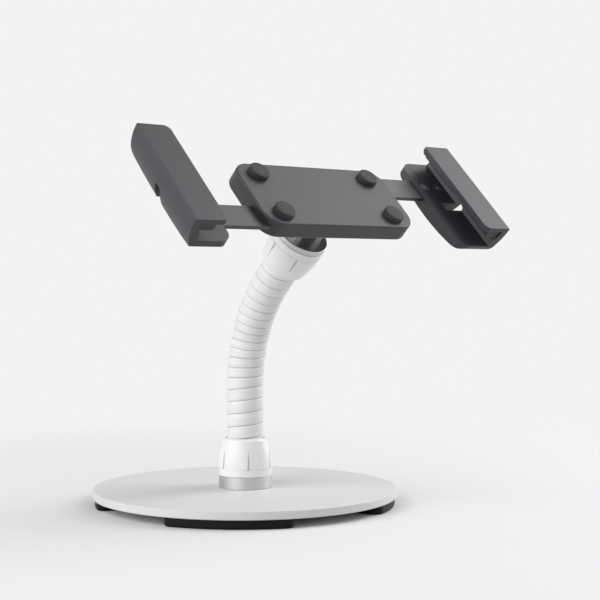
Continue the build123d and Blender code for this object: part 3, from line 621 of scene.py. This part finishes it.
class STAND_OT_finish_core(Operator):
    """Finishes the ball-and-socket links inside the sleeve"""
    bl_idname = "stand.finish_core"
    bl_label = "Neck core"

    def execute(self, context):
        colours = context.scene.stand_colours
        links = [name for name in frame["nodes"] if name.startswith("neck_link_")]
        core = turned_metal("core_turned", colours.aluminium, roughness=0.34, joint="neck_turn")
        dress(core, "neck_foot", *links)
        return {"FINISHED"}


class STAND_OT_wind_sleeve(Operator):
    """Winds the neck's ribbed sleeve, in one length for each joint of the neck"""
    bl_idname = "stand.wind_sleeve"
    bl_label = "Neck sleeve"

    def execute(self, context):
        sizes = context.scene.stand_sleeve
        line = NeckLine(sizes)
        vinyl = sleeve_vinyl("sleeve_satin_white", context.scene.stand_colours.sleeve_white)
        ends, joints = section_ends(sizes, line)
        for number, ((start, stop), middle) in enumerate(zip(ends, joints), 1):
            built = SleeveLength(sizes, line, start, stop).build()
            data = bpy.data.meshes.new(f"neck_sleeve_{number}")
            built.to_mesh(data)
            built.free()
            data.materials.append(vinyl)
            piece = bpy.data.objects.new(f"neck_sleeve_{number}", data)
            context.scene.collection.objects.link(piece)
            joint = joint_row(FLEX_JOINTS[number - 1])
            centre, direction = line.at(middle)
            reach = direction * sizes.flex_reach
            centre - reach
            centre + reach
            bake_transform(piece)
            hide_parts(f"sleeve_{number}")
        return {"FINISHED"}


class STAND_OT_finish_tilt(Operator):
    """Finishes the tilt joint and the swivel behind the holder"""
    bl_idname = "stand.finish_tilt"
    bl_label = "Tilt and swivel"

    def execute(self, context):
        colours = context.scene.stand_colours
        yoke = turned_metal("yoke_satin_metal", colours.ring_metal, roughness=0.38, joint="upper_nut_turn")
        dress(yoke, "tilt_yoke")
        knuckle = moulded_plastic("knuckle_anthracite", colours.holder_plastic, roughness=0.46)
        dress(knuckle, "tilt_knuckle")
        dress(moulded_plastic("washer_acetal", colours.acetal, roughness=0.4), "tilt_washers")
        hardware = plated_steel("tilt_hardware_zinc", colours.zinc)
        dress(hardware, "tilt_pin", "swivel_retainer", "swivel_screw")
        dress(moulded_plastic("tilt_knob_black", colours.knob_black, roughness=0.44), "tilt_knob")
        return {"FINISHED"}


class STAND_OT_finish_holder(Operator):
    """Finishes the holder's two shells, its pads and screws, and the arm lock"""
    bl_idname = "stand.finish_holder"
    bl_label = "Holder"

    def execute(self, context):
        colours = context.scene.stand_colours
        shells = moulded_plastic("holder_anthracite", colours.holder_plastic, roughness=0.48)
        dress(shells, "holder_back", "holder_front")
        dress(plated_steel("holder_screw_zinc", colours.zinc), "holder_screws")
        dress(rubber("rest_pad_rubber", colours.liner_rubber), "rest_pads", "lock_shoe")
        insert = turned_metal("insert_brass", colours.brass, roughness=0.28, joint="lock_knob_turn")
        dress(insert, "lock_insert")
        dress(moulded_plastic("lock_knob_black", colours.knob_black, roughness=0.44), "lock_knob")
        return {"FINISHED"}


class STAND_OT_finish_drive(Operator):
    """Finishes the rack arms, the pinion between them and its axle"""
    bl_idname = "stand.finish_drive"
    bl_label = "Arms and pinion"

    def execute(self, context):
        colours = context.scene.stand_colours
        dress(coated_steel("arm_black_steel", colours.arm_steel), "arm_right", "arm_left")
        dress(moulded_plastic("pinion_acetal", colours.acetal, roughness=0.4), "drive_pinion")
        steel = plated_steel("arm_hardware_zinc", colours.zinc)
        dress(steel, "pinion_axle", "arm_screws_right", "arm_screws_left")
        return {"FINISHED"}


class STAND_OT_finish_jaws(Operator):
    """Finishes the two jaws and their rubber liners"""
    bl_idname = "stand.finish_jaws"
    bl_label = "Jaws"

    def execute(self, context):
        colours = context.scene.stand_colours
        jaws = moulded_plastic("jaw_anthracite", colours.jaw_plastic, roughness=0.5)
        dress(jaws, "jaw_right", "jaw_left")
        liners = rubber("liner_rubber", colours.liner_rubber, roughness=0.6)
        dress(liners, "jaw_liner_right", "jaw_liner_left")
        return {"FINISHED"}


# studio
def floor_material(settings):
    """A white floor that fades into the backdrop's colour away from the stand."""
    floor = Finish("studio_floor", settings.floor_white, roughness=0.7)
    floor.set(Specular_IOR_Level=0.25)
    distance = floor.vector("LENGTH", floor.place(), output="Value")
    near = floor.steps(distance, *GLOW_NEAR)
    far = floor.steps(distance, *GLOW_FAR)
    seen = floor.seen()
    floor.set(Base_Color=floor.blend(seen, settings.floor_bounce, settings.floor_white))
    glow = floor.add("ShaderNodeEmission", {}, {"Color": settings.backdrop, "Strength": 1.0})
    share = seen * (near * settings.floor_glow + far * (1.0 - settings.floor_glow))
    mixed = floor.add("ShaderNodeMixShader", {}, {0: share, 1: floor.shader, 2: glow})
    floor.fill(floor.end.inputs["Surface"], mixed)
    return floor.material


class STAND_OT_build_studio(Operator):
    """Lays the floor, hangs the lamps and sets the camera"""
    bl_idname = "stand.build_studio"
    bl_label = "Studio"

    def execute(self, context):
        settings = context.scene.stand_studio
        self.lay_floor(context, settings)
        self.light_world(context, settings)
        for name, (size, place) in LAMPS.items():
            self.hang_lamp(context, f"{name}_lamp", getattr(settings, f"{name}_power"), size, place)
        self.set_camera(context, settings)
        context.scene.view_settings.view_transform = "Standard"
        return {"FINISHED"}

    def lay_floor(self, context, settings):
        built = bmesh.new()
        bmesh.ops.create_circle(built, cap_ends=True, segments=FLOOR_SIDES, radius=FLOOR_RADIUS)
        data = bpy.data.meshes.new("studio_floor")
        built.to_mesh(data)
        built.free()
        data.materials.append(floor_material(settings))
        floor = bpy.data.objects.new("studio_floor", data)
        context.scene.collection.objects.link(floor)

    def light_world(self, context, settings):
        """Even light from all round, behind which the camera, gloss and glass see the backdrop."""
        world = bpy.data.worlds.new("studio_air")
        context.scene.world = world
        world.use_nodes = True
        air = Tree(world.node_tree)
        colour = air.blend(air.seen(), grey(settings.fill), settings.backdrop)
        light = air.add("ShaderNodeBackground", {}, {"Color": colour})
        air.add("ShaderNodeOutputWorld", {}, {"Surface": light})

    def hang_lamp(self, context, name, power, size, place):
        """Hangs a soft rectangular lamp that faces the stand."""
        light = bpy.data.lights.new(name, "AREA")
        light.shape = "RECTANGLE"
        light.size, light.size_y = size
        light.energy = power
        lamp = bpy.data.objects.new(name, light)
        lamp.location = place
        lamp.rotation_euler = (Vector(LAMP_AIM) - Vector(place)).to_track_quat("-Z", "Y").to_euler()
        lamp.visible_camera = False
        context.scene.collection.objects.link(lamp)

    def set_camera(self, context, settings):
        data = bpy.data.cameras.new("camera")
        data.lens = settings.lens
        camera = bpy.data.objects.new("camera", data)
        camera.location = (settings.camera_x, settings.camera_y, settings.camera_z)
        level = math.cos(settings.dip)
        look = Vector((
            math.sin(settings.heading) * level, math.cos(settings.heading) * level,
            -math.sin(settings.dip)))
        camera.rotation_euler = look.to_track_quat("-Z", "Y").to_euler()
        context.scene.collection.objects.link(camera)
        context.scene.camera = camera


STEPS = (
    STAND_OT_finish_base, STAND_OT_finish_feet, STAND_OT_finish_clamps, STAND_OT_finish_core,
    STAND_OT_wind_sleeve, STAND_OT_finish_tilt, STAND_OT_finish_holder, STAND_OT_finish_drive,
    STAND_OT_finish_jaws, STAND_OT_build_studio,
)


class STAND_PT_sidebar(Panel):
    """Lists the sizes, the colours and the steps that dress the stand"""
    bl_idname = "STAND_PT_sidebar"
    bl_label = "Tablet Stand"
    bl_space_type = "VIEW_3D"
    bl_region_type = "UI"
    bl_category = "Tablet Stand"

    def draw(self, context):
        for group in (context.scene.stand_sleeve, context.scene.stand_colours, context.scene.stand_studio):
            box = self.layout.box()
            for name in group.bl_rna.properties.keys():
                if name not in ("rna_type", "name"):
                    box.prop(group, name)
        for step in STEPS:
            self.layout.operator(step.bl_idname)


CLASSES = (SleeveSizes, StandColours, StudioSettings, *STEPS, STAND_PT_sidebar)


def register():
    for item in CLASSES:
        bpy.utils.register_class(item)
    bpy.types.Scene.stand_sleeve = PointerProperty(type=SleeveSizes)
    bpy.types.Scene.stand_colours = PointerProperty(type=StandColours)
    bpy.types.Scene.stand_studio = PointerProperty(type=StudioSettings)


def unregister():
    del bpy.types.Scene.stand_sleeve
    del bpy.types.Scene.stand_colours
    del bpy.types.Scene.stand_studio
    for item in reversed(CLASSES):
        bpy.utils.unregister_class(item)


def main():
    register()
    for step in STEPS:
        group, action = step.bl_idname.split(".")
        getattr(getattr(bpy.ops, group), action)()


if __name__ == "__main__":
    main()
